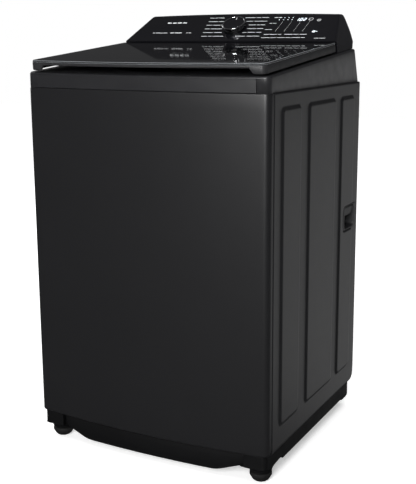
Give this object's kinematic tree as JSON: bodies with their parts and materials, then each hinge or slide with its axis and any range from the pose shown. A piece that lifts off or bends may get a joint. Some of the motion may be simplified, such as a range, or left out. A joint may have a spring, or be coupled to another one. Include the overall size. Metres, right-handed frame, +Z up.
{
  "type": "top load washing machine",
  "caption": "Free-standing top load washing machine: bowed dark cabinet, sloping glass lid, rear console with dial, hung tub, spinning basket and pulsator.",
  "frame": {"origin": "on the floor, at the middle of the machine's footprint", "axes": "+Z up, -Y to the front, +X to the right seen from the front"},
  "size_m": [0.645, 0.612, 1.078],
  "materials": {
    "body_paint": "satin dark titanium paint",
    "cover_plastic": "fine-grained dark plastic",
    "black_plastic": "fine-grained black plastic",
    "gloss_black": "polished black",
    "lid_glass": "dark tempered glass",
    "chrome_trim": "bright plated",
    "stainless": "satin stainless",
    "zinc_sheet": "galvanised",
    "cast_aluminium": "as cast",
    "grey_plastic": "smooth grey",
    "white_plastic": "natural white",
    "rubber": "moulded",
    "board": "coated circuit board"
  },
  "bodies": {
    "cabinet": {"front_panel": "body_paint", "side_panel_left": "body_paint", "side_panel_right": "body_paint", "top_cover": "cover_plastic", "rear_panel": "zinc_sheet", "suspension_bracket_front_left": "zinc_sheet", "suspension_bracket_front_right": "zinc_sheet", "suspension_bracket_rear_left": "zinc_sheet", "suspension_bracket_rear_right": "zinc_sheet", "suspension_rod_front_left": "zinc_sheet", "suspension_rod_front_right": "zinc_sheet", "suspension_rod_rear_left": "zinc_sheet", "suspension_rod_rear_right": "zinc_sheet", "dial_encoder": "zinc_sheet", "handle_cup_left": "black_plastic", "handle_cup_right": "black_plastic", "base_frame": "black_plastic", "front_apron": "black_plastic", "top_front_trim": "black_plastic", "lid_lock": "black_plastic", "display_module": "black_plastic", "cord_gland": "black_plastic", "drain_port": "black_plastic", "drain_pump": "black_plastic", "foot_rear_left": "rubber", "foot_rear_right": "rubber", "console_shell": "gloss_black", "control_panel": "gloss_black", "suspension_spring_front_left": "stainless", "suspension_spring_front_right": "stainless", "suspension_spring_rear_left": "stainless", "suspension_spring_rear_right": "stainless", "dispenser_box": "grey_plastic", "inlet_valve_hot": "white_plastic", "inlet_valve_cold": "white_plastic", "control_board": "board"},
    "lid": {"lid_frame": "black_plastic", "lid_glass": "lid_glass", "hinge_pin_left": "stainless", "hinge_pin_right": "stainless"},
    "dial": {"dial_knob": "gloss_black", "dial_ring": "chrome_trim"},
    "drawer": {"detergent_drawer": "grey_plastic"},
    "foot_left": {"foot_front_left": "rubber"},
    "foot_right": {"foot_front_right": "rubber"},
    "tub": {"outer_tub": "white_plastic", "tub_ring": "white_plastic", "gearbox": "cast_aluminium", "motor": "cast_aluminium", "drive_belt": "rubber"},
    "basket": {"basket": "stainless", "basket_hub": "cast_aluminium", "balance_ring": "grey_plastic"},
    "filter": {"lint_filter": "grey_plastic"},
    "pulsator": {"pulsator": "grey_plastic", "pulsator_cap": "chrome_trim", "output_shaft": "stainless"},
    "drive_pulley": {"drive_pulley": "cast_aluminium"},
    "motor_pulley": {"motor_pulley": "stainless"}
  },
  "joints": [
    {"name": "lid_hinge", "type": "hinge", "parent": "cabinet", "child": "lid", "pos_m": [0, 0.11763, 0.98482], "axis": [-1, 0, 0], "range_deg": [0, 80]},
    {"name": "dial_turn", "type": "hinge", "parent": "cabinet", "child": "dial", "pos_m": [0.003, 0.18432, 1.04029], "axis": [0, -0.5417, 0.8406], "continuous": true},
    {"name": "drawer_slide", "type": "slide", "parent": "cabinet", "child": "drawer", "axis": [0, -1, 0], "range_m": [0, 0.09]},
    {"name": "foot_left_screw", "type": "slide", "parent": "cabinet", "child": "foot_left", "axis": [0, 0, -1], "range_m": [0, 0.02]},
    {"name": "foot_right_screw", "type": "slide", "parent": "cabinet", "child": "foot_right", "axis": [0, 0, -1], "range_m": [0, 0.02]},
    {"name": "tub_bounce", "type": "slide", "parent": "cabinet", "child": "tub", "axis": [0, 0, -1], "range_m": [0, 0.03], "stiffness_N_per_m": 20000, "springref_m": -0.035, "deforming": ["suspension_spring_front_left", "suspension_spring_front_right", "suspension_spring_rear_left", "suspension_spring_rear_right"]},
    {"name": "basket_spin", "type": "hinge", "parent": "tub", "child": "basket", "pos_m": [0, 0, 0.5], "axis": [0, 0, 1], "continuous": true},
    {"name": "filter_slide", "type": "slide", "parent": "basket", "child": "filter", "axis": [0, -1, 0], "range_m": [0, 0.04]},
    {"name": "drive_pulley_spin", "type": "hinge", "parent": "tub", "child": "drive_pulley", "pos_m": [0, 0, 0.11], "axis": [0, 0, 1], "continuous": true},
    {"name": "pulsator_spin", "type": "hinge", "parent": "tub", "child": "pulsator", "pos_m": [0, 0, 0.33], "axis": [0, 0, 1], "continuous": true},
    {"name": "motor_pulley_spin", "type": "hinge", "parent": "tub", "child": "motor_pulley", "pos_m": [0.15, -0.117, 0.11], "axis": [0, 0, 1], "continuous": true}
  ],
  "couplings": [
    {"joint": "pulsator_spin", "follows": "drive_pulley_spin", "ratio": 0.2},
    {"joint": "motor_pulley_spin", "follows": "drive_pulley_spin", "ratio": 4.0385}
  ]
}
